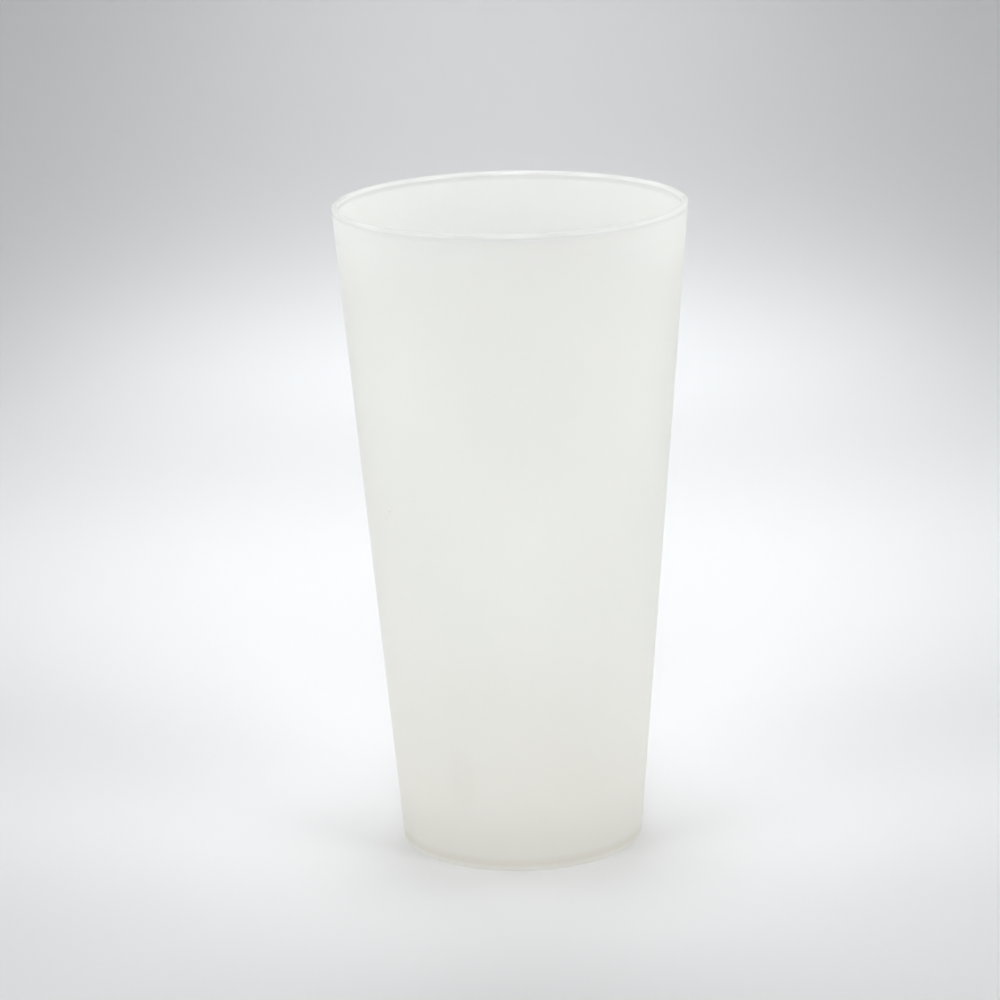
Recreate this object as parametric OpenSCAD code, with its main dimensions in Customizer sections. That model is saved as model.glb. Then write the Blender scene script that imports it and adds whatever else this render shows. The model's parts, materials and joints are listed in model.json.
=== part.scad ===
// Tall reusable tumbler, moulded in one piece.
// Lengths are in millimetres. The cup stands on its foot ring at z = 0, with its axis on Z.
// The body is one section turned about the axis: a tapered wall that swells into a rounded bead
// for a lip, a flat floor that runs into the wall in a wide inside radius, and a foot ring round a
// sunk underside that keeps the mark of the moulding gate off the table.

/* [Overall] */
// Height from the table to the top of the lip
height = 150; // [110:1:190]
// Outside diameter across the lip
mouth_d = 80.5; // [70:0.1:95]
// Outside diameter of the wall, taken straight down to the table
base_d = 55.7; // [45:0.1:65]

/* [Wall and floor] */
// Thickness of the wall, square to it
wall_t = 1.3; // [1:0.1:2.5]
// Thickness of the floor
floor_t = 1.6; // [1.2:0.1:3]
// Radius inside, where the wall runs into the floor
inside_round = 4; // [1:0.5:8]

/* [Lip] */
// Height of the bead round the lip, with the swell under it
lip_h = 1.8; // [1.3:0.05:3]
// Height over which the wall swells into the bead
lip_swell = 0.8; // [0.4:0.1:1.2]
// How far the bead stands out from the wall under it, outside and inside
lip_proud = 0.15; // [0.05:0.05:0.3]

/* [Foot] */
// Height of the floor's underside above the table
foot_h = 1.2; // [0.8:0.1:3]
// Thickness of the foot ring at the table
foot_t = 1.5; // [1.2:0.1:2.5]
// Radius of the foot ring's outer edge
foot_round = 0.45; // [0.2:0.05:0.6]
// Radius of the foot ring's inner edge
foot_inner_round = 0.25; // [0.1:0.05:0.4]
// Radius where the foot ring meets the underside
under_round = 0.6; // [0.2:0.1:0.7]

/* [Gate mark] */
// Diameter of the shallow dimple round the gate
dimple_d = 10; // [6:0.5:16]
// Depth of the dimple in the underside
dimple_depth = 0.4; // [0.2:0.1:0.6]
// Diameter of the stub left where the gate broke off
gate_d = 2.4; // [1.5:0.1:4]
// Height of the stub inside the dimple
gate_h = 0.25; // [0.1:0.05:0.4]

/* [Hidden] */

// Steps round the whole cup, and round each small circle of the section
around = 144;
$fn = 64;
// Draft of the small walls of the underside, in degrees from the axis
draft = 5;
// Share of a small step's own height that its roundings take
edge_share = 0.4;
// Share of the swell's height that the bead keeps free between the swell and its round top
swell_gap = 0.25;
// A rounding's circle passes its two sides by this much, so that it crosses them
past = 0.001;
// The piece that rounds a corner reaches this far beyond the corner's two sides
beyond = 0.1;

mouth_r = mouth_d / 2;
base_r = base_d / 2;
bead_z = height - lip_h;
taper = atan((mouth_r - lip_proud - base_r) / bead_z);
wall_across = wall_t / cos(taper);
floor_z = foot_h + floor_t;
ring_r = base_r - foot_t;
dimple_z = foot_h + dimple_depth;

// Radius of the wall's outer and inner face at height z
function outer_r(z) = base_r + z * tan(taper);
function inner_r(z) = outer_r(z) - wall_across;

// The bead's inside radius, the height at which it is full, and the radius of its round top,
// which a low bead cuts short
bead_r = inner_r(bead_z) - lip_proud;
full_z = bead_z + lip_swell;
lip_round = min((mouth_r - bead_r) / 2, lip_h - lip_swell * (1 + swell_gap));
// Radius where the wall begins to swell, and where the bead becomes full
swell_round = lip_swell * 2;
full_round = lip_swell;

// Corners of the section as [radius, height, rounding], from the middle of the underside
// out to the foot, up the wall, over the lip and down the inside to the middle of the floor
gate_corners = [
    [0, dimple_z - gate_h, 0],
    [gate_d / 2, dimple_z - gate_h, gate_h * edge_share],
    [gate_d / 2 + gate_h * tan(draft), dimple_z, gate_h * edge_share],
    [dimple_d / 2 - dimple_depth, dimple_z, dimple_depth * edge_share],
    [dimple_d / 2, foot_h, dimple_depth * edge_share],
];
foot_corners = [
    [ring_r - foot_h * tan(draft), foot_h, under_round],
    [ring_r, 0, foot_inner_round],
    [base_r, 0, foot_round],
];
lip_corners = [
    [outer_r(bead_z), bead_z, swell_round],
    [mouth_r, full_z, full_round],
    [mouth_r, height, lip_round],
    [bead_r, height, lip_round],
    [bead_r, full_z, full_round],
    [inner_r(bead_z), bead_z, swell_round],
];
inside_corners = [
    [inner_r(floor_z), floor_z, inside_round],
    [0, floor_z, 0],
];
corners = concat(gate_corners, foot_corners, lip_corners, inside_corners);
last = len(corners) - 1;

// Where corner i lies, the way from one point to another, and the rounding of corner i
function at(i) = let (c = corners[(i + last + 1) % (last + 1)]) [c[0], c[1]];
function way(from, to) = (to - from) / norm(to - from);
function rounding(i) = corners[i][2];

// Above zero where the outline turns left, so that corner i stands out from the material
function turn(i) =
    let (a = way(at(i - 1), at(i)), b = way(at(i), at(i + 1)))
    a[0] * b[1] - a[1] * b[0];

// The piece between corner i and the circle that rounds it, between the corner's sides
// towards two neighbours, which are given anticlockwise
module spandrel(i, before, after) {
    back = way(at(i), before);
    ahead = way(at(i), after);
    half = acos(back * ahead) / 2;
    reach = rounding(i) / tan(half);
    middle = at(i) + way([0, 0], back + ahead) * rounding(i) / sin(half);
    wide = (rounding(i) + beyond) / rounding(i);
    difference() {
        polygon([
            middle,
            middle + (at(i) + back * reach - middle) * wide,
            middle + (at(i) - middle) * wide,
            middle + (at(i) + ahead * reach - middle) * wide,
        ]);
        translate(middle) circle(rounding(i) + past);
    }
}

// A rounding is taken off each corner that stands out, and fills each one that stands in
module section() {
    difference() {
        polygon([for (i = [0:last]) at(i)]);
        for (i = [0:last])
            if (rounding(i) > 0 && turn(i) > 0) spandrel(i, at(i - 1), at(i + 1));
    }
    for (i = [0:last])
        if (rounding(i) > 0 && turn(i) < 0) spandrel(i, at(i + 1), at(i - 1));
}

module cup() {
    color("#ECEDE7")
        rotate_extrude($fn = around)
            section();
}

cup();
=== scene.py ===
"""Looks of a tall reusable tumbler of natural polypropylene, standing on a white paper sweep.

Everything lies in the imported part's own frame, in metres: +Z is up, the cup's axis is Z and its
foot stands on z = 0. A size whose name ends in _mm is in millimetres, as on a maker's drawing.
"""

import json
import logging
import math
from dataclasses import dataclass, replace
from enum import Enum
from typing import Any

import bmesh
import bpy
from mathutils import Matrix, Vector

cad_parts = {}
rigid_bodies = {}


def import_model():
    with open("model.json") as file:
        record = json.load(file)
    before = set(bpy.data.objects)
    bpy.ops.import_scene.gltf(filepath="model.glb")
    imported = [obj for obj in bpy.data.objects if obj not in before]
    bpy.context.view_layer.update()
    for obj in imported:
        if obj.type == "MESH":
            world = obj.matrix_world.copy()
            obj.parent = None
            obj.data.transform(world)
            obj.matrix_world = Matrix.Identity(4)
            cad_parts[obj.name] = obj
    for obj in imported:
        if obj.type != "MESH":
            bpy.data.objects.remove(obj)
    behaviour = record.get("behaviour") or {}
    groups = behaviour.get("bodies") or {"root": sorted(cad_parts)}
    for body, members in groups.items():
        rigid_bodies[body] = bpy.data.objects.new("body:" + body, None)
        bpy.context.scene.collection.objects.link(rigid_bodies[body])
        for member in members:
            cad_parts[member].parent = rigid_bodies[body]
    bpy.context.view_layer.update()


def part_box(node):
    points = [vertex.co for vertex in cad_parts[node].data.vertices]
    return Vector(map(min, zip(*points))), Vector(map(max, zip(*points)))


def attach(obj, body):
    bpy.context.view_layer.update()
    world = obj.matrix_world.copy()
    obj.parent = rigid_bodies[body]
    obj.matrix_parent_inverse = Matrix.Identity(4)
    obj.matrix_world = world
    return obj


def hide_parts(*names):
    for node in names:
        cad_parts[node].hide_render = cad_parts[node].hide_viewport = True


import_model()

log = logging.getLogger("tumbler")

MM = 0.001
CUP_NODE = "cup"
CUP_BODY = "root"
ROUNDING = "rounding"
STEPS = "rounding_steps"
MARKS = "marks"


class Hue(Enum):
    """Colours of the cup, its surroundings and the lamps, as sRGB hex values."""

    MILKY = "#FAFAF8"
    MILKY_THICK = "#F9F8F5"
    # Painted shade: the wall darker towards the foot.
    MILKY_LOW_SHADE = "#F5F4F1"
    # Painted shade over the floor's edge: darker and yellower.
    MILKY_FLOOR_SHADE = "#F1EFE9"
    # Painted shade: the dark line under the lip's bead, outside; the next one is inside.
    MILKY_BEAD_SHADE = "#F7F7F6"
    MILKY_INSIDE_BEAD_SHADE = "#EBEBEA"
    # Dirt and painted shade in pits; also the faint darker patch.
    DIRT_AND_SHADE_MARK = "#EAE9E4"
    PAPER = "#F2F2F2"
    WHITE = "#FFFFFF"
    COOL = "#F9FCFF"


class TreeInput(Enum):
    """Named sizes of the tree that turns the section, as its modifier shows them."""

    ROW = "Widest row"
    AROUND = "Steps round"
    SWEEP = "Sweep radius"
    WELD = "Weld distance"
    FINISH = "Finish"


def linear(hue: Hue) -> tuple[float, float, float, float]:
    """Turns an sRGB hex colour to linear light.

    Args:
        hue: The colour, as a "#RRGGBB" value.

    Returns:
        Red, green, blue and an alpha of 1, in linear light.
    """
    text = hue.value.lstrip("#")
    levels = [int(text[i : i + 2], 16) / 255 for i in (0, 2, 4)]
    light = [v / 12.92 if v <= 0.04045 else ((v + 0.055) / 1.055) ** 2.4 for v in levels]
    return (*light, 1.0)


def add_node(
    tree: bpy.types.NodeTree,
    kind: str,
    settings: dict[str, Any] | None = None,
    inputs: dict[str | int, Any] | None = None,
) -> bpy.types.Node:
    """Adds one node to a tree, with its settings and its inputs.

    Args:
        tree: The shader or geometry tree.
        kind: The node's type name.
        settings: Values of the node's own properties.
        inputs: For an input's name or number, a plain value or the socket that feeds it.

    Returns:
        The new node.
    """
    node = tree.nodes.new(kind)
    for name, value in (settings or {}).items():
        setattr(node, name, value)
    for name, value in (inputs or {}).items():
        if isinstance(value, bpy.types.NodeSocket):
            tree.links.new(value, node.inputs[name])
        else:
            node.inputs[name].default_value = value
    return node


def mix_colours(
    tree: bpy.types.NodeTree, amount: bpy.types.NodeSocket, plain: Any, other: Any
) -> bpy.types.NodeSocket:
    """Mixes two colours.

    Args:
        tree: The shader tree.
        amount: How much of the second colour shows, from 0 to 1.
        plain: The first colour, or the socket that gives it.
        other: The second one.

    Returns:
        The mixed colour.
    """
    mix = add_node(
        tree, "ShaderNodeMix", {"data_type": "RGBA"}, {"Factor": amount, "A": plain, "B": other}
    )
    return mix.outputs["Result"]


def new_material(name: str) -> tuple[bpy.types.Material, bpy.types.Node, bpy.types.NodeTree]:
    """Makes an empty node material.

    Args:
        name: The material's name.

    Returns:
        The material, its output node and its tree.
    """
    material = bpy.data.materials.new(name)
    material.use_nodes = True
    tree = material.node_tree
    tree.nodes.clear()
    return material, add_node(tree, "ShaderNodeOutputMaterial"), tree


def show(name: str, mesh: bpy.types.Mesh) -> bpy.types.Object:
    """Puts a mesh in the scene as an object at the origin.

    Args:
        name: The object's name.
        mesh: The mesh, in the part's frame.

    Returns:
        The object.
    """
    piece = bpy.data.objects.new(name, mesh)
    bpy.context.scene.collection.objects.link(piece)
    return piece


@dataclass(frozen=True)
class Corner:
    """A corner of the cup's section, and how it is rounded."""

    radius_mm: float
    height_mm: float
    rounding_mm: float = 0.0
    steps: int = 0


@dataclass(frozen=True)
class CupSection:
    """The moulding's section: wall, beaded lip, floor, foot ring and gate mark."""

    height_mm: float
    mouth_d_mm: float
    base_d_mm: float = 55.7
    wall_t_mm: float = 1.3
    floor_t_mm: float = 1.6
    inside_round_mm: float = 4.0
    lip_h_mm: float = 1.8
    lip_swell_mm: float = 0.8
    lip_proud_mm: float = 0.15
    foot_h_mm: float = 1.2
    foot_t_mm: float = 1.5
    foot_round_mm: float = 0.45
    foot_inner_round_mm: float = 0.25
    under_round_mm: float = 0.6
    dimple_d_mm: float = 10.0
    dimple_depth_mm: float = 0.4
    gate_d_mm: float = 2.4
    gate_h_mm: float = 0.25
    draft_deg: float = 5.0
    edge_share: float = 0.4
    swell_gap: float = 0.25

    @property
    def mouth_r_mm(self) -> float:
        """Outside radius of the lip."""
        return self.mouth_d_mm / 2

    @property
    def bead_z_mm(self) -> float:
        """Height at which the bead of the lip begins."""
        return self.height_mm - self.lip_h_mm

    @property
    def slope(self) -> float:
        """How far the wall leans out for each millimetre of height."""
        return (self.mouth_r_mm - self.lip_proud_mm - self.base_d_mm / 2) / self.bead_z_mm

    @property
    def floor_z_mm(self) -> float:
        """Height of the inside floor."""
        return self.foot_h_mm + self.floor_t_mm

    def outer_r_mm(self, z_mm: float) -> float:
        """Outside radius of the wall at a height."""
        return self.base_d_mm / 2 + z_mm * self.slope

    def inner_r_mm(self, z_mm: float) -> float:
        """Inside radius of the wall at a height."""
        return self.outer_r_mm(z_mm) - self.wall_t_mm * math.hypot(1, self.slope)

    def corners(self) -> list[Corner]:
        """Lists the section's corners.

        Returns:
            Corners from the middle of the underside round the outside to the middle of the floor.
        """
        lean = math.tan(math.radians(self.draft_deg))
        bead_r = self.inner_r_mm(self.bead_z_mm) - self.lip_proud_mm
        top_h = self.lip_h_mm - self.lip_swell_mm * (1 + self.swell_gap)
        lip_round = min((self.mouth_r_mm - bead_r) / 2, top_h)
        full_z = self.bead_z_mm + self.lip_swell_mm
        dimple_z = self.foot_h_mm + self.dimple_depth_mm
        stub_z = dimple_z - self.gate_h_mm
        stub_edge = self.gate_h_mm * self.edge_share
        dimple_edge = self.dimple_depth_mm * self.edge_share
        swell_round = self.lip_swell_mm * 2
        ring_r = self.base_d_mm / 2 - self.foot_t_mm
        return [
            Corner(0, stub_z),
            Corner(self.gate_d_mm / 2, stub_z, stub_edge, 3),
            Corner(self.gate_d_mm / 2 + self.gate_h_mm * lean, dimple_z, stub_edge, 3),
            Corner(self.dimple_d_mm / 2 - self.dimple_depth_mm, dimple_z, dimple_edge, 3),
            Corner(self.dimple_d_mm / 2, self.foot_h_mm, dimple_edge, 3),
            Corner(ring_r - self.foot_h_mm * lean, self.foot_h_mm, self.under_round_mm, 6),
            Corner(ring_r, 0, self.foot_inner_round_mm, 5),
            Corner(self.base_d_mm / 2, 0, self.foot_round_mm, 7),
            Corner(self.outer_r_mm(self.bead_z_mm), self.bead_z_mm, swell_round, 4),
            Corner(self.mouth_r_mm, full_z, self.lip_swell_mm, 4),
            Corner(self.mouth_r_mm, self.height_mm, lip_round, 10),
            Corner(bead_r, self.height_mm, lip_round, 10),
            Corner(bead_r, full_z, self.lip_swell_mm, 4),
            Corner(self.inner_r_mm(self.bead_z_mm), self.bead_z_mm, swell_round, 4),
            Corner(self.inner_r_mm(self.floor_z_mm), self.floor_z_mm, self.inside_round_mm, 12),
            Corner(0, self.floor_z_mm),
        ]

    def line(self) -> bpy.types.Mesh:
        """Draws the section with sharp corners, as a line in the XZ plane.

        Returns:
            A mesh of edges whose points carry their rounding and its number of steps.
        """
        corners = self.corners()
        points = [(c.radius_mm * MM, 0.0, c.height_mm * MM) for c in corners]
        mesh = bpy.data.meshes.new("cup_section")
        mesh.from_pydata(points, [(i, i + 1) for i in range(len(points) - 1)], [])
        rounding = mesh.attributes.new(ROUNDING, "FLOAT", "POINT")
        rounding.data.foreach_set("value", [c.rounding_mm * MM for c in corners])
        steps = mesh.attributes.new(STEPS, "INT", "POINT")
        steps.data.foreach_set("value", [c.steps for c in corners])
        return mesh


class TurningTree:
    """Geometry nodes that round a section's corners and turn it about the upright axis."""

    SOCKETS = {
        TreeInput.ROW: "NodeSocketFloat",
        TreeInput.AROUND: "NodeSocketInt",
        TreeInput.SWEEP: "NodeSocketFloat",
        TreeInput.WELD: "NodeSocketFloat",
        TreeInput.FINISH: "NodeSocketMaterial",
    }

    def __init__(self) -> None:
        """Builds the tree."""
        self.tree = bpy.data.node_groups.new("turn_section", "GeometryNodeTree")
        face = self.tree.interface
        face.new_socket("Section", in_out="INPUT", socket_type="NodeSocketGeometry")
        for named, kind in self.SOCKETS.items():
            face.new_socket(named.value, in_out="INPUT", socket_type=kind)
        face.new_socket("Cup", in_out="OUTPUT", socket_type="NodeSocketGeometry")
        self.given = add_node(self.tree, "NodeGroupInput").outputs
        turned = self._turned(self._rows(self._rounded()))
        add_node(self.tree, "NodeGroupOutput", inputs={"Cup": turned})

    def _rounded(self) -> bpy.types.NodeSocket:
        """Rounds each corner by its own radius, in its own number of steps."""
        line = add_node(self.tree, "GeometryNodeMeshToCurve", inputs={"Mesh": self.given["Section"]})
        radius = add_node(
            self.tree, "GeometryNodeInputNamedAttribute", {"data_type": "FLOAT"}, {"Name": ROUNDING}
        )
        count = add_node(
            self.tree, "GeometryNodeInputNamedAttribute", {"data_type": "INT"}, {"Name": STEPS}
        )
        rounded = add_node(
            self.tree,
            "GeometryNodeFilletCurve",
            {"mode": "POLY"},
            {
                "Curve": line.outputs["Curve"],
                "Radius": radius.outputs["Attribute"],
                "Count": count.outputs["Attribute"],
            },
        )
        return rounded.outputs["Curve"]

    def _rows(self, section: bpy.types.NodeSocket) -> bpy.types.NodeSocket:
        """Cuts long straight runs of the section into rows.

        Args:
            section: The rounded section.

        Returns:
            The section with no stretch longer than the widest row.
        """
        tree = self.tree
        here = add_node(tree, "GeometryNodeInputPosition").outputs["Position"]
        number = add_node(tree, "GeometryNodeInputIndex").outputs["Index"]
        following = add_node(tree, "ShaderNodeMath", {"operation": "ADD"}, {0: number, 1: 1.0})
        there = add_node(
            tree,
            "GeometryNodeFieldAtIndex",
            {"data_type": "FLOAT_VECTOR", "domain": "POINT"},
            {"Index": following.outputs[0], "Value": here},
        )
        stretch = add_node(
            tree, "ShaderNodeVectorMath", {"operation": "DISTANCE"}, {0: here, 1: there.outputs["Value"]}
        )
        rows = add_node(
            tree,
            "ShaderNodeMath",
            {"operation": "DIVIDE"},
            {0: stretch.outputs["Value"], 1: self.given[TreeInput.ROW.value]},
        )
        cuts = add_node(tree, "ShaderNodeMath", {"operation": "FLOOR"}, {0: rows.outputs[0]})
        cut = add_node(
            tree, "GeometryNodeSubdivideCurve", inputs={"Curve": section, "Cuts": cuts.outputs[0]}
        )
        return cut.outputs["Curve"]

    def _turned(self, section: bpy.types.NodeSocket) -> bpy.types.NodeSocket:
        """Turns the section about Z, closes its seam and poles, and gives it its finish.

        Args:
            section: The section, in the XZ plane.

        Returns:
            The closed body, with its faces outwards.
        """
        tree = self.tree
        where = add_node(tree, "GeometryNodeInputPosition")
        parts = add_node(tree, "ShaderNodeSeparateXYZ", inputs={0: where.outputs["Position"]})
        beside = add_node(
            tree,
            "ShaderNodeMath",
            {"operation": "SUBTRACT"},
            {0: parts.outputs["X"], 1: self.given[TreeInput.SWEEP.value]},
        )
        below = add_node(tree, "ShaderNodeMath", {"operation": "MULTIPLY"}, {0: parts.outputs["Z"], 1: -1.0})
        flat = add_node(
            tree, "ShaderNodeCombineXYZ", inputs={"X": beside.outputs[0], "Y": below.outputs[0], "Z": 0.0}
        )
        profile = add_node(
            tree,
            "GeometryNodeSetPosition",
            inputs={"Geometry": section, "Position": flat.outputs["Vector"]},
        )
        ring = add_node(
            tree,
            "GeometryNodeCurvePrimitiveCircle",
            {"mode": "RADIUS"},
            {
                "Resolution": self.given[TreeInput.AROUND.value],
                "Radius": self.given[TreeInput.SWEEP.value],
            },
        )
        swept = add_node(
            tree,
            "GeometryNodeCurveToMesh",
            inputs={"Curve": ring.outputs["Curve"], "Profile Curve": profile.outputs["Geometry"]},
        )
        welded = add_node(
            tree,
            "GeometryNodeMergeByDistance",
            inputs={"Geometry": swept.outputs["Mesh"], "Distance": self.given[TreeInput.WELD.value]},
        )
        outward = add_node(tree, "GeometryNodeFlipFaces", inputs={"Mesh": welded.outputs["Geometry"]})
        smooth = add_node(
            tree, "GeometryNodeSetShadeSmooth", inputs={"Geometry": outward.outputs["Mesh"]}
        )
        real = add_node(
            tree, "GeometryNodeRealizeInstances", inputs={"Geometry": smooth.outputs["Geometry"]}
        )
        dressed = add_node(
            tree,
            "GeometryNodeSetMaterial",
            inputs={
                "Geometry": real.outputs["Geometry"],
                "Material": self.given[TreeInput.FINISH.value],
            },
        )
        return dressed.outputs["Geometry"]

    def fill(self, modifier: bpy.types.Modifier, values: dict[TreeInput, Any]) -> None:
        """Sets a modifier's inputs by their sockets' identifiers.

        Args:
            modifier: The nodes modifier that uses this tree.
            values: The value of each named input.
        """
        sockets = {
            item.name: item.identifier
            for item in self.tree.interface.items_tree
            if item.item_type == "SOCKET" and item.in_out == "INPUT"
        }
        for named, value in values.items():
            modifier[sockets[named.value]] = value


@dataclass(frozen=True)
class Nick:
    """A small pit knocked into the wall, with a burr pushed up on its upper side."""

    around_deg: float
    height_mm: float
    length_mm: float
    width_mm: float
    depth_mm: float
    burr_mm: float
    lean_deg: float
    reach_mm: float = 2.2
    finest_mm: float = 0.12
    reach_shrinks: float = 0.8
    least_reach: float = 1.6
    burr_above: float = 1.8

    def place(self, section: CupSection) -> tuple[Vector, Vector, Vector, Vector]:
        """Finds the nick on the wall.

        Args:
            section: The cup's section.

        Returns:
            Its middle, the way round the wall, the way up the wall and the way out of it.
        """
        a = math.radians(self.around_deg)
        out = Vector((math.sin(a), -math.cos(a), 0))
        along = Vector((math.cos(a), math.sin(a), 0))
        middle = out * section.outer_r_mm(self.height_mm) * MM
        middle.z = self.height_mm * MM
        up = (out * section.slope + Vector((0, 0, 1))).normalized()
        return middle, along, up, along.cross(up).normalized()

    def press(self, body: bmesh.types.BMesh, section: CupSection) -> None:
        """Cuts the wall finely round the nick and presses it in.

        Args:
            body: The cup's mesh.
            section: The cup's section.
        """
        middle, along, up, out = self.place(section)
        reach = self.reach_mm * MM
        while True:
            near = [
                e
                for e in body.edges
                if e.calc_length() > self.finest_mm * MM
                and ((e.verts[0].co + e.verts[1].co) / 2 - middle).length < reach
                and all((v.co - middle).dot(out) > -section.wall_t_mm * MM / 2 for v in e.verts)
            ]
            if not near:
                break
            bmesh.ops.subdivide_edges(body, edges=near, cuts=1, use_grid_fill=True)
            reach = max(reach * self.reach_shrinks, self.length_mm * MM * self.least_reach)
        lean = math.radians(self.lean_deg)
        marks = body.verts.layers.float[MARKS]
        for vert in body.verts:
            away = vert.co - middle
            if away.length > self.reach_mm * MM or away.dot(out) < -section.wall_t_mm * MM / 2:
                continue
            across, rise = away.dot(along), away.dot(up)
            s = (across * math.cos(lean) + rise * math.sin(lean)) / (self.length_mm * MM / 2)
            t = (rise * math.cos(lean) - across * math.sin(lean)) / (self.width_mm * MM / 2)
            pit = math.exp(-(s * s + t * t))
            burr = math.exp(-(s * s + (t - self.burr_above) ** 2))
            vert.co += out * (self.burr_mm * burr - self.depth_mm * pit) * MM
            # Marks: stress-whitening and painted highlight on the burr, dirt and painted shade in the pit.
            vert[marks] += burr - pit


@dataclass(frozen=True)
class FaintPatch:
    """A faint darker patch on the wall, longer than it is wide."""

    around_deg: float
    height_mm: float
    wide_mm: float
    tall_mm: float
    strength: float

    def mark_darker(self, body: bmesh.types.BMesh, section: CupSection) -> None:
        """Marks the outside of the wall within the patch.

        Args:
            body: The cup's mesh.
            section: The cup's section.
        """
        marks = body.verts.layers.float[MARKS]
        radius = section.outer_r_mm(self.height_mm)
        for vert in body.verts:
            x, y, z = vert.co / MM
            if math.hypot(x, y) < section.outer_r_mm(z) - section.wall_t_mm / 2:
                continue
            across = (math.atan2(x, -y) - math.radians(self.around_deg)) * radius
            s = across / (self.wide_mm / 2)
            t = (z - self.height_mm) / (self.tall_mm / 2)
            # The patch is a darker colour on the wall's outside.
            vert[marks] -= self.strength * math.exp(-((s * s + t * t) ** 2))


@dataclass(frozen=True)
class MilkyPolypropylene:
    """Natural polypropylene, injection moulded in a finely matt mould.

    Uncoloured polypropylene is part crystal, so light scatters inside it and the wall looks
    milky. Here each face sends some light back and lets most through, spread all ways, and
    nothing scatters between the faces. Colours by height stand for what deeper plastic does: the
    wall turns yellower towards the foot. Painted shade by height stands for light that deeper
    plastic holds back: the wall is painted darker towards the foot, and darker and yellower over
    the floor's edge. The dark lines under the lip's bead, outside and inside, are painted shade
    too. The mould's matt skin gives a wide soft gloss, and the bead a somewhat sharper one.
    """

    let_through: float = 0.76
    roughness: float = 0.42
    lip_roughness: float = 0.2
    ior: float = 1.49
    aslant: float = 0.3
    aslant_power: float = 5.0
    yellow_share: float = 0.45
    clouds: float = 0.2
    cloud_levels: tuple[float, float] = (0.3, 0.7)
    # Where the painted shade towards the foot begins and ends.
    low_shade_begins_mm: tuple[float, float] = (-1.0, 1.5)
    low_shade_ends: tuple[float, float] = (0.6, 2.6)
    facing_out_mm: tuple[float, float] = (0.6, 0.3)
    # Where the painted shade over the floor's edge begins and ends.
    floor_shade_begins_mm: tuple[float, float] = (-0.2, 0.3)
    floor_shade_ends_mm: tuple[float, float] = (-0.8, 1.0)
    # How the painted shade under the bead fades, and where it turns from outside to inside.
    bead_fade_mm: float = 0.4
    bead_turns_mm: float = 0.2
    grain_mm: float = 0.5
    grain_height_mm: float = 0.004
    flow_mm: float = 22.0
    flow_height_mm: float = 0.03

    def material(self, section: CupSection) -> bpy.types.Material:
        """Builds the material.

        Args:
            section: The cup's section, which says where the lip and the floor lie.

        Returns:
            The material.
        """
        material, output, tree = new_material("natural_polypropylene_matt_moulded")
        where = add_node(tree, "ShaderNodeTexCoord").outputs["Object"]
        height = add_node(tree, "ShaderNodeSeparateXYZ", inputs={0: where}).outputs["Z"]
        flow = add_node(
            tree,
            "ShaderNodeTexNoise",
            inputs={"Vector": where, "Scale": 1 / (self.flow_mm * MM), "Detail": 1.0},
        ).outputs[0]
        colour = self._colour(tree, where, height, flow, section)
        skin = self._skin(tree, where, flow)
        back = add_node(tree, "ShaderNodeBsdfDiffuse", inputs={"Color": colour, "Normal": skin})
        through = add_node(tree, "ShaderNodeBsdfTranslucent", inputs={"Color": colour, "Normal": skin})
        milk = add_node(
            tree,
            "ShaderNodeMixShader",
            inputs={0: self.let_through, 1: back.outputs["BSDF"], 2: through.outputs["BSDF"]},
        )
        shine = add_node(
            tree,
            "ShaderNodeBsdfAnisotropic",
            inputs={
                "Color": linear(Hue.WHITE),
                "Roughness": self._polish(tree, height, section),
                "Normal": skin,
            },
        )
        finish = add_node(
            tree,
            "ShaderNodeMixShader",
            inputs={
                0: self._mirrored(tree),
                1: milk.outputs["Shader"],
                2: shine.outputs["BSDF"],
            },
        )
        tree.links.new(finish.outputs["Shader"], output.inputs["Surface"])
        return material

    def _mirrored(self, tree: bpy.types.NodeTree) -> bpy.types.NodeSocket:
        """Share of the light that the skin mirrors: a few parts in a hundred, and more aslant."""
        straight = ((self.ior - 1) / (self.ior + 1)) ** 2
        facing = add_node(tree, "ShaderNodeLayerWeight", inputs={"Blend": 0.5})
        aslant = add_node(
            tree,
            "ShaderNodeMath",
            {"operation": "POWER"},
            {0: facing.outputs["Facing"], 1: self.aslant_power},
        )
        mirrored = add_node(
            tree,
            "ShaderNodeMapRange",
            inputs={
                "Value": aslant.outputs[0],
                "To Min": straight,
                "To Max": self.aslant,
            },
        )
        return mirrored.outputs["Result"]

    def _colour(
        self,
        tree: bpy.types.NodeTree,
        where: bpy.types.NodeSocket,
        height: bpy.types.NodeSocket,
        flow: bpy.types.NodeSocket,
        section: CupSection,
    ) -> bpy.types.NodeSocket:
        """Milky white that changes by height, with painted shade towards the foot, over the floor's edge and
        under the lip's bead, and with the marks.

        Args:
            tree: The material's tree.
            where: The shaded point.
            height: Its height.
            flow: The slow pattern of the melt's flow.
            section: The cup's section.

        Returns:
            The colour.
        """
        yellow = self._yellow(tree, height, flow, section)
        milk = mix_colours(tree, yellow, linear(Hue.MILKY), linear(Hue.MILKY_THICK))
        # Painted shade: the wall is painted darker towards the foot.
        round_z = section.floor_z_mm + section.inside_round_mm
        low_shade_ends = tuple(round_z * share for share in self.low_shade_ends)
        low_shade_band = self._band(tree, height, self.low_shade_begins_mm, low_shade_ends)
        low = mix_colours(tree, low_shade_band, milk, linear(Hue.MILKY_LOW_SHADE))
        # Painted shade over the floor's edge, on the wall's outside only.
        base_r = section.base_d_mm / 2
        facing_out = self._beyond(tree, where, *(base_r - back for back in self.facing_out_mm))
        floor_shade_band = self._floor_shade_mask(tree, height, facing_out, section)
        floor_shaded = mix_colours(tree, floor_shade_band, low, linear(Hue.MILKY_FLOOR_SHADE))
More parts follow.
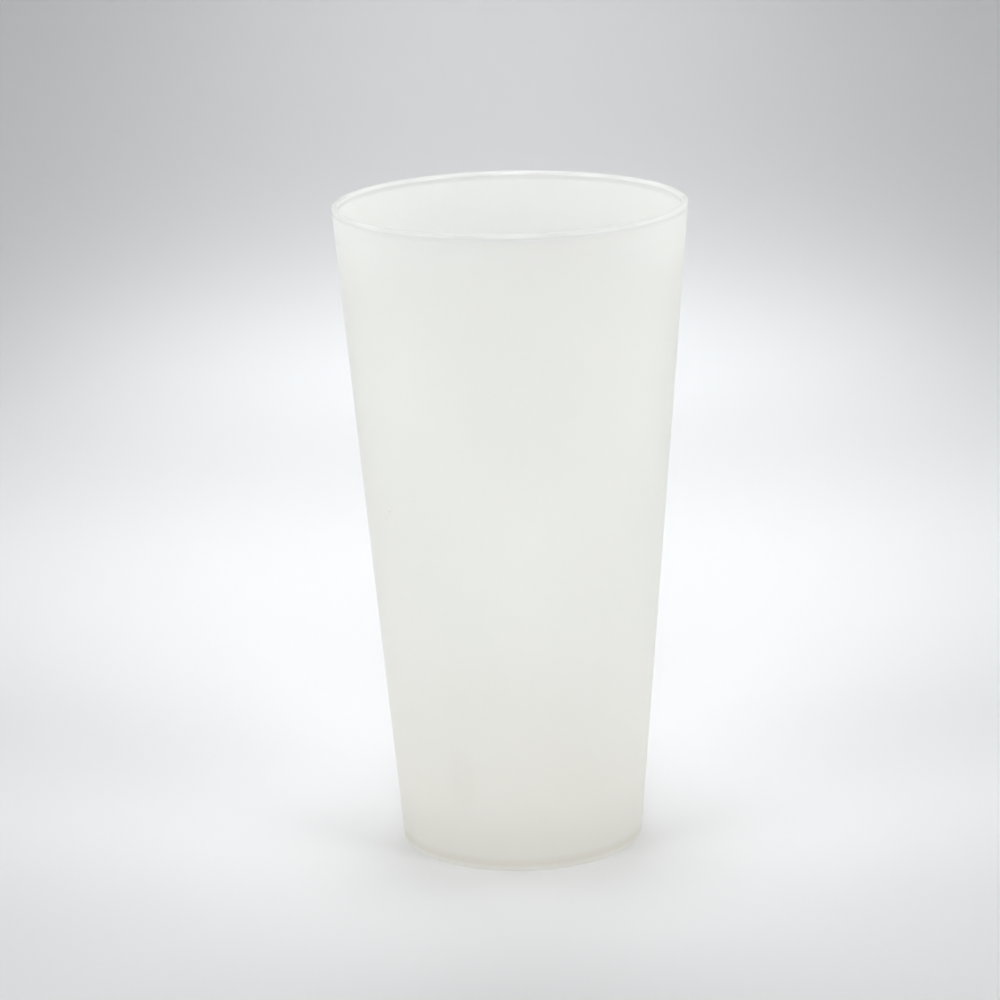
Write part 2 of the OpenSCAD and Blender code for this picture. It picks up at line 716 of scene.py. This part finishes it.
        # Painted shade: dark lines under the lip's bead, outside and inside.
        middle_r = section.mouth_r_mm - section.wall_t_mm / 2
        outside = self._beyond(tree, where, middle_r - self.bead_turns_mm, middle_r)
        bead_shade = mix_colours(tree, outside, linear(Hue.MILKY_INSIDE_BEAD_SHADE), linear(Hue.MILKY_BEAD_SHADE))
        full_z = section.bead_z_mm + section.lip_swell_mm
        under = (section.bead_z_mm - self.bead_fade_mm, section.bead_z_mm + self.bead_fade_mm)
        bead_shade_band = self._band(tree, height, under, (full_z, full_z + self.bead_fade_mm))
        return self._marked(tree, mix_colours(tree, bead_shade_band, floor_shaded, bead_shade))

    def _yellow(
        self,
        tree: bpy.types.NodeTree,
        height: bpy.types.NodeSocket,
        flow: bpy.types.NodeSocket,
        section: CupSection,
    ) -> bpy.types.NodeSocket:
        """How yellow the wall is: more towards the foot, with faint clouds of the flow."""
        thick = add_node(
            tree,
            "ShaderNodeMapRange",
            {"interpolation_type": "SMOOTHSTEP"},
            {
                "Value": height,
                "From Min": section.floor_z_mm * MM,
                "From Max": section.height_mm * self.yellow_share * MM,
                "To Min": 1.0,
                "To Max": 0.0,
            },
        )
        faint = add_node(
            tree,
            "ShaderNodeMapRange",
            inputs={
                "Value": flow,
                "From Min": self.cloud_levels[0],
                "From Max": self.cloud_levels[1],
                "To Min": -self.clouds,
                "To Max": self.clouds,
            },
        )
        yellow = add_node(
            tree,
            "ShaderNodeMath",
            {"operation": "ADD", "use_clamp": True},
            {0: thick.outputs["Result"], 1: faint.outputs["Result"]},
        )
        return yellow.outputs[0]

    def _marked(self, tree: bpy.types.NodeTree, colour: bpy.types.NodeSocket) -> bpy.types.NodeSocket:
        """Whitens the burrs, for stress-whitening and a painted highlight, and darkens the pits with dirt
        and painted shade, and the faint darker patch.
        """
        marks = add_node(tree, "ShaderNodeAttribute", {"attribute_name": MARKS}).outputs["Fac"]
        for hue, way in ((Hue.WHITE, 1.0), (Hue.DIRT_AND_SHADE_MARK, -1.0)):
            amount = add_node(
                tree, "ShaderNodeMath", {"operation": "MULTIPLY", "use_clamp": True}, {0: marks, 1: way}
            )
            colour = mix_colours(tree, amount.outputs[0], colour, linear(hue))
        return colour

    def _floor_shade_mask(
        self,
        tree: bpy.types.NodeTree,
        height: bpy.types.NodeSocket,
        facing_out: bpy.types.NodeSocket,
        section: CupSection,
    ) -> bpy.types.NodeSocket:
        """How much of the floor's edge lies behind the wall's outside, from 0 to 1: where the painted shade
        over the floor's edge goes.
        """
        under = tuple(section.foot_h_mm + rise for rise in self.floor_shade_begins_mm)
        over = tuple(section.floor_z_mm + rise for rise in self.floor_shade_ends_mm)
        band = add_node(
            tree,
            "ShaderNodeMath",
            {"operation": "MULTIPLY"},
            {0: self._band(tree, height, under, over), 1: facing_out},
        )
        return band.outputs[0]

    def _beyond(
        self, tree: bpy.types.NodeTree, where: bpy.types.NodeSocket, low_mm: float, high_mm: float
    ) -> bpy.types.NodeSocket:
        """How far a point lies beyond a radius: 0 within the first one, 1 outside the second."""
        flat = add_node(
            tree, "ShaderNodeVectorMath", {"operation": "MULTIPLY"}, {0: where, 1: (1.0, 1.0, 0.0)}
        )
        radius = add_node(
            tree, "ShaderNodeVectorMath", {"operation": "LENGTH"}, {0: flat.outputs["Vector"]}
        )
        beyond = add_node(
            tree,
            "ShaderNodeMapRange",
            inputs={
                "Value": radius.outputs["Value"],
                "From Min": low_mm * MM,
                "From Max": high_mm * MM,
            },
        )
        return beyond.outputs["Result"]

    def _band(
        self,
        tree: bpy.types.NodeTree,
        height: bpy.types.NodeSocket,
        under: tuple[float, float],
        over: tuple[float, float],
    ) -> bpy.types.NodeSocket:
        """A band round the cup: 0 below it and above it, 1 inside it.

        Args:
            tree: The material's tree.
            height: The height of the shaded point.
            under: Heights in mm between which the band begins.
            over: Heights in mm between which it ends.

        Returns:
            How much of the band the point has.
        """
        begins, ends = (
            add_node(
                tree,
                "ShaderNodeMapRange",
                {"interpolation_type": "SMOOTHSTEP"},
                {
                    "Value": height,
                    "From Min": low * MM,
                    "From Max": high * MM,
                    "To Min": outer,
                    "To Max": 1.0 - outer,
                },
            )
            for (low, high), outer in ((under, 0.0), (over, 1.0))
        )
        band = add_node(
            tree,
            "ShaderNodeMath",
            {"operation": "MULTIPLY"},
            {0: begins.outputs["Result"], 1: ends.outputs["Result"]},
        )
        return band.outputs[0]

    def _polish(
        self, tree: bpy.types.NodeTree, height: bpy.types.NodeSocket, section: CupSection
    ) -> bpy.types.NodeSocket:
        """Roughness of the matt wall, which turns to that of the bead where the wall swells."""
        value = add_node(
            tree,
            "ShaderNodeMapRange",
            inputs={
                "Value": height,
                "From Min": section.bead_z_mm * MM,
                "From Max": (section.bead_z_mm + section.lip_swell_mm) * MM,
                "To Min": self.roughness,
                "To Max": self.lip_roughness,
            },
        )
        return value.outputs["Result"]

    def _skin(
        self,
        tree: bpy.types.NodeTree,
        where: bpy.types.NodeSocket,
        flow: bpy.types.NodeSocket,
    ) -> bpy.types.NodeSocket:
        """Fine matt grain over slow waves left by the flow of the melt."""
        grain = add_node(
            tree,
            "ShaderNodeTexNoise",
            inputs={"Vector": where, "Scale": 1 / (self.grain_mm * MM), "Detail": 1.0},
        )
        waves = add_node(
            tree, "ShaderNodeBump", inputs={"Distance": self.flow_height_mm * MM, "Height": flow}
        )
        skin = add_node(
            tree,
            "ShaderNodeBump",
            inputs={
                "Distance": self.grain_height_mm * MM,
                "Height": grain.outputs[0],
                "Normal": waves.outputs["Normal"],
            },
        )
        return skin.outputs["Normal"]


@dataclass(frozen=True)
class SweepPaper:
    """Smooth matt white studio paper: even, with hardly any gloss."""

    roughness: float = 0.9
    fibre_mm: float = 1.5
    fibre_height_mm: float = 0.01

    def material(self) -> bpy.types.Material:
        """Builds the material."""
        material, output, tree = new_material("white_studio_paper")
        where = add_node(tree, "ShaderNodeTexCoord").outputs["Object"]
        fibre = add_node(
            tree, "ShaderNodeTexNoise", inputs={"Vector": where, "Scale": 1 / (self.fibre_mm * MM)}
        )
        tooth = add_node(
            tree,
            "ShaderNodeBump",
            inputs={"Distance": self.fibre_height_mm * MM, "Height": fibre.outputs[0]},
        )
        shader = add_node(
            tree,
            "ShaderNodeBsdfPrincipled",
            inputs={
                "Base Color": linear(Hue.PAPER),
                "Roughness": self.roughness,
                "Specular IOR Level": 0.2,
                "Normal": tooth.outputs["Normal"],
            },
        )
        tree.links.new(shader.outputs["BSDF"], output.inputs["Surface"])
        return material


@dataclass
class Tumbler:
    """The moulded cup: its section turned to a body, with its nicks and its finish."""

    section: CupSection
    nicks: tuple[Nick, ...]
    faint_patch: FaintPatch
    plastic: MilkyPolypropylene
    steps_round: int = 240
    widest_row_mm: float = 2.5
    weld_mm: float = 0.0005

    def build(self) -> bpy.types.Object:
        """Turns the section and marks the wall.

        Returns:
            The finished piece.
        """
        tree = TurningTree()
        line = show("cup_section", self.section.line())
        turning = line.modifiers.new("turning", "NODES")
        turning.node_group = tree.tree
        tree.fill(
            turning,
            {
                TreeInput.ROW: self.widest_row_mm * MM,
                TreeInput.AROUND: self.steps_round,
                TreeInput.SWEEP: self.section.base_d_mm / 2 * MM,
                TreeInput.WELD: self.weld_mm * MM,
                TreeInput.FINISH: self.plastic.material(self.section),
            },
        )
        depsgraph = bpy.context.evaluated_depsgraph_get()
        mesh = bpy.data.meshes.new_from_object(line.evaluated_get(depsgraph), depsgraph=depsgraph)
        bpy.data.objects.remove(line)
        self._mark(mesh)
        return show("tumbler", mesh)

    def _mark(self, mesh: bpy.types.Mesh) -> None:
        """Presses the nicks into the mesh, marks the faint darker patch and logs how it closed.

        Args:
            mesh: The turned body.
        """
        body = bmesh.new()
        body.from_mesh(mesh)
        body.verts.layers.float.new(MARKS)
        for nick in self.nicks:
            nick.press(body, self.section)
        self.faint_patch.mark_darker(body, self.section)
        loose = sum(not e.is_manifold for e in body.edges)
        log.info("body: %d faces, %.1f cm3, %d open edges", len(body.faces), body.calc_volume() * 1e6, loose)
        body.to_mesh(mesh)
        body.free()
        mesh.shade_smooth()


@dataclass(frozen=True)
class PaperSweep:
    """White paper that lies flat under the cup and curves up behind it."""

    half_width: float = 1.6
    front: float = -1.6
    bend_start: float = 0.48
    bend_radius: float = 0.4
    wall_top: float = 1.4
    bend_steps: int = 32

    def build(self) -> bpy.types.Object:
        """Builds the sweep as one bent sheet.

        Returns:
            The sheet.
        """
        path = [(self.front, 0.0)]
        for i in range(self.bend_steps + 1):
            a = math.pi / 2 * i / self.bend_steps
            path.append(
                (
                    self.bend_start + self.bend_radius * math.sin(a),
                    self.bend_radius * (1 - math.cos(a)),
                )
            )
        path.append((self.bend_start + self.bend_radius, self.wall_top))
        points = [(x, y, z) for y, z in path for x in (-self.half_width, self.half_width)]
        faces = [(2 * i, 2 * i + 1, 2 * i + 3, 2 * i + 2) for i in range(len(path) - 1)]
        mesh = bpy.data.meshes.new("paper_sweep")
        mesh.from_pydata(points, [], faces)
        mesh.shade_smooth()
        mesh.materials.append(SweepPaper().material())
        return show("paper_sweep", mesh)


@dataclass(frozen=True)
class Softbox:
    """A flat soft lamp that points at a spot."""

    name: str
    centre: tuple[float, float, float]
    aim: tuple[float, float, float]
    wide: float
    long: float
    watts: float
    spread_deg: float = 180.0
    hue: Hue = Hue.WHITE

    def build(self) -> bpy.types.Object:
        """Hangs the lamp.

        Returns:
            The lamp.
        """
        data = bpy.data.lights.new(self.name, "AREA")
        data.shape = "RECTANGLE"
        data.size, data.size_y = self.wide, self.long
        data.energy = self.watts
        data.spread = math.radians(self.spread_deg)
        data.color = linear(self.hue)[:3]
        lamp = bpy.data.objects.new(self.name, data)
        lamp.location = self.centre
        facing = Vector(self.aim) - Vector(self.centre)
        lamp.rotation_euler = facing.to_track_quat("-Z", "Y").to_euler()
        bpy.context.scene.collection.objects.link(lamp)
        return lamp

    def mirrored(self) -> "Softbox":
        """The same lamp on the right side, for one on the left."""
        x, y, z = self.centre
        return replace(self, name=self.name.replace("left", "right"), centre=(-x, y, z))


@dataclass(frozen=True)
class Studio:
    """The soft light round the cup: lamps alone, in an otherwise dark studio."""

    lamps: tuple[Softbox, ...]

    def build(self) -> None:
        """Lights the scene and sets how its tones are shown."""
        for lamp in self.lamps:
            lamp.build()
        world = bpy.data.worlds.new("dark_studio")
        world.use_nodes = True
        world.node_tree.nodes.clear()
        dark = add_node(world.node_tree, "ShaderNodeBackground", inputs={"Strength": 0.0})
        add_node(world.node_tree, "ShaderNodeOutputWorld", inputs={"Surface": dark.outputs[0]})
        scene = bpy.context.scene
        scene.world = world
        scene.view_settings.view_transform = "Standard"


@dataclass(frozen=True)
class PhotoCamera:
    """A camera at the photograph's place: how far, how high, and how it leans."""

    distance: float = 0.873
    elevation_deg: float = 14.89
    lean_deg: float = -1.3
    aim: tuple[float, float, float] = (-0.0037, 0.0, 0.0804)
    focal_px: float = 3797.0
    image_px: float = 1000.0

    def build(self) -> bpy.types.Object:
        """Places the camera and makes it the scene's own.

        Returns:
            The camera.
        """
        data = bpy.data.cameras.new("camera")
        data.lens = data.sensor_width * self.focal_px / self.image_px
        data.clip_start, data.clip_end = 0.05, 20
        camera = bpy.data.objects.new("camera", data)
        e = math.radians(self.elevation_deg)
        back = Vector((0, -math.cos(e), math.sin(e)))
        right = Vector((1, 0, 0))
        axes = Matrix((right, back.cross(right), back)).transposed().to_4x4()
        lean = Matrix.Rotation(math.radians(self.lean_deg), 4, "Z")
        place = Matrix.Translation(Vector(self.aim) + back * self.distance)
        camera.matrix_world = place @ axes @ lean
        bpy.context.scene.collection.objects.link(camera)
        bpy.context.scene.camera = camera
        return camera


def round_down(length_mm: float, parts: int) -> float:
    """Rounds a length down to whole parts of a millimetre."""
    return math.floor(length_mm * parts) / parts


def measured_section() -> CupSection:
    """Takes the cup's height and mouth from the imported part, whose lip is cut into straight steps.

    Returns:
        The section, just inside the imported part, with its other sizes as drawn.
    """
    low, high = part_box(CUP_NODE)
    reach = min(-low[0], high[0], -low[1], high[1]) / MM
    return CupSection(height_mm=round_down(high[2] / MM, 1000), mouth_d_mm=round_down(reach * 2, 100))


def studio_lamps() -> tuple[Softbox, ...]:
    """Lists the lamps, set by measured tones for the photograph's view.

    Returns:
        The lamps over and behind the cup, then the pairs at its sides.
    """
    single = (
        Softbox("overhead", (0.0, 0.2, 0.5), (0.0, 0.2, 0.0), 0.3, 0.12, 0.228, 100.0, Hue.COOL),
        Softbox("high_front", (0.0, -0.3, 0.7), (0.0, -0.3, 0.0), 0.5, 0.5, 0.537),
        Softbox("over_mouth", (0.0, 0.0, 0.5), (0.0, 0.0, 0.0), 0.1, 0.1, 0.012, 30.0, Hue.COOL),
        Softbox("strip_behind", (0.0, 0.3, 0.5), (0.0, 0.0, 0.15), 0.3, 0.1, 0.051, 60.0, Hue.COOL),
        Softbox("pool_near", (0.0, 0.3, 0.52), (0.0, 0.3, 0.0), 0.2, 0.2, 0.137, 60.0, Hue.COOL),
        Softbox("pool_middle", (0.0, 0.5, 0.3), (0.0, 0.5, 0.0), 0.3, 0.12, 0.072, 60.0, Hue.COOL),
        Softbox("pool_far", (0.0, 0.7, 0.5), (0.0, 0.7, 0.1), 0.2, 0.2, 0.086, 60.0, Hue.COOL),
        Softbox("front", (0.0, -1.3, 0.6), (0.0, 0.0, 0.08), 0.6, 0.4, 0.294, 30.0, Hue.COOL),
    )
    on_the_left = (
        Softbox("left", (-0.9, 0.0, 0.22), (0.0, 0.0, 0.08), 1.0, 0.4, 2.3, hue=Hue.COOL),
        Softbox("back_left", (-0.7, 0.35, 0.6), (0.0, 0.0, 0.08), 0.5, 0.4, 1.265),
        Softbox("front_left", (-0.5, -0.35, 0.25), (0.0, 0.0, 0.09), 0.3, 0.3, 0.157, 50.0),
    )
    return (*single, *(lamp for left in on_the_left for lamp in (left, left.mirrored())))


def main() -> None:
    """Builds the cup, the sweep, the light and the camera, in that order."""
    logging.basicConfig(level=logging.INFO, format="%(name)s: %(message)s")
    section = measured_section()
    log.info("section: %.1f mm tall, %.1f mm across the lip", section.height_mm, section.mouth_d_mm)
    nicks = (
        Nick(
            around_deg=-55.3,
            height_mm=83.5,
            length_mm=0.9,
            width_mm=0.6,
            depth_mm=0.25,
            burr_mm=0.15,
            lean_deg=0.0,
        ),
        Nick(
            around_deg=-58.2,
            height_mm=81.4,
            length_mm=0.6,
            width_mm=0.5,
            depth_mm=0.2,
            burr_mm=0.14,
            lean_deg=-45.0,
        ),
    )
    faint_patch = FaintPatch(around_deg=-27.7, height_mm=22.0, wide_mm=7.0, tall_mm=14.0, strength=0.12)
    body = Tumbler(section, nicks, faint_patch, MilkyPolypropylene()).build()
    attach(body, CUP_BODY)
    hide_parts(CUP_NODE)
    log.info("tumbler: %d vertices", len(body.data.vertices))
    sweep = PaperSweep().build()
    log.info("sweep: %d vertices", len(sweep.data.vertices))
    lamps = studio_lamps()
    Studio(lamps).build()
    log.info("studio: %d lamps", len(lamps))
    camera = PhotoCamera().build()
    log.info("camera: %.1f mm lens", camera.data.lens)


if __name__ == "__main__":
    main()
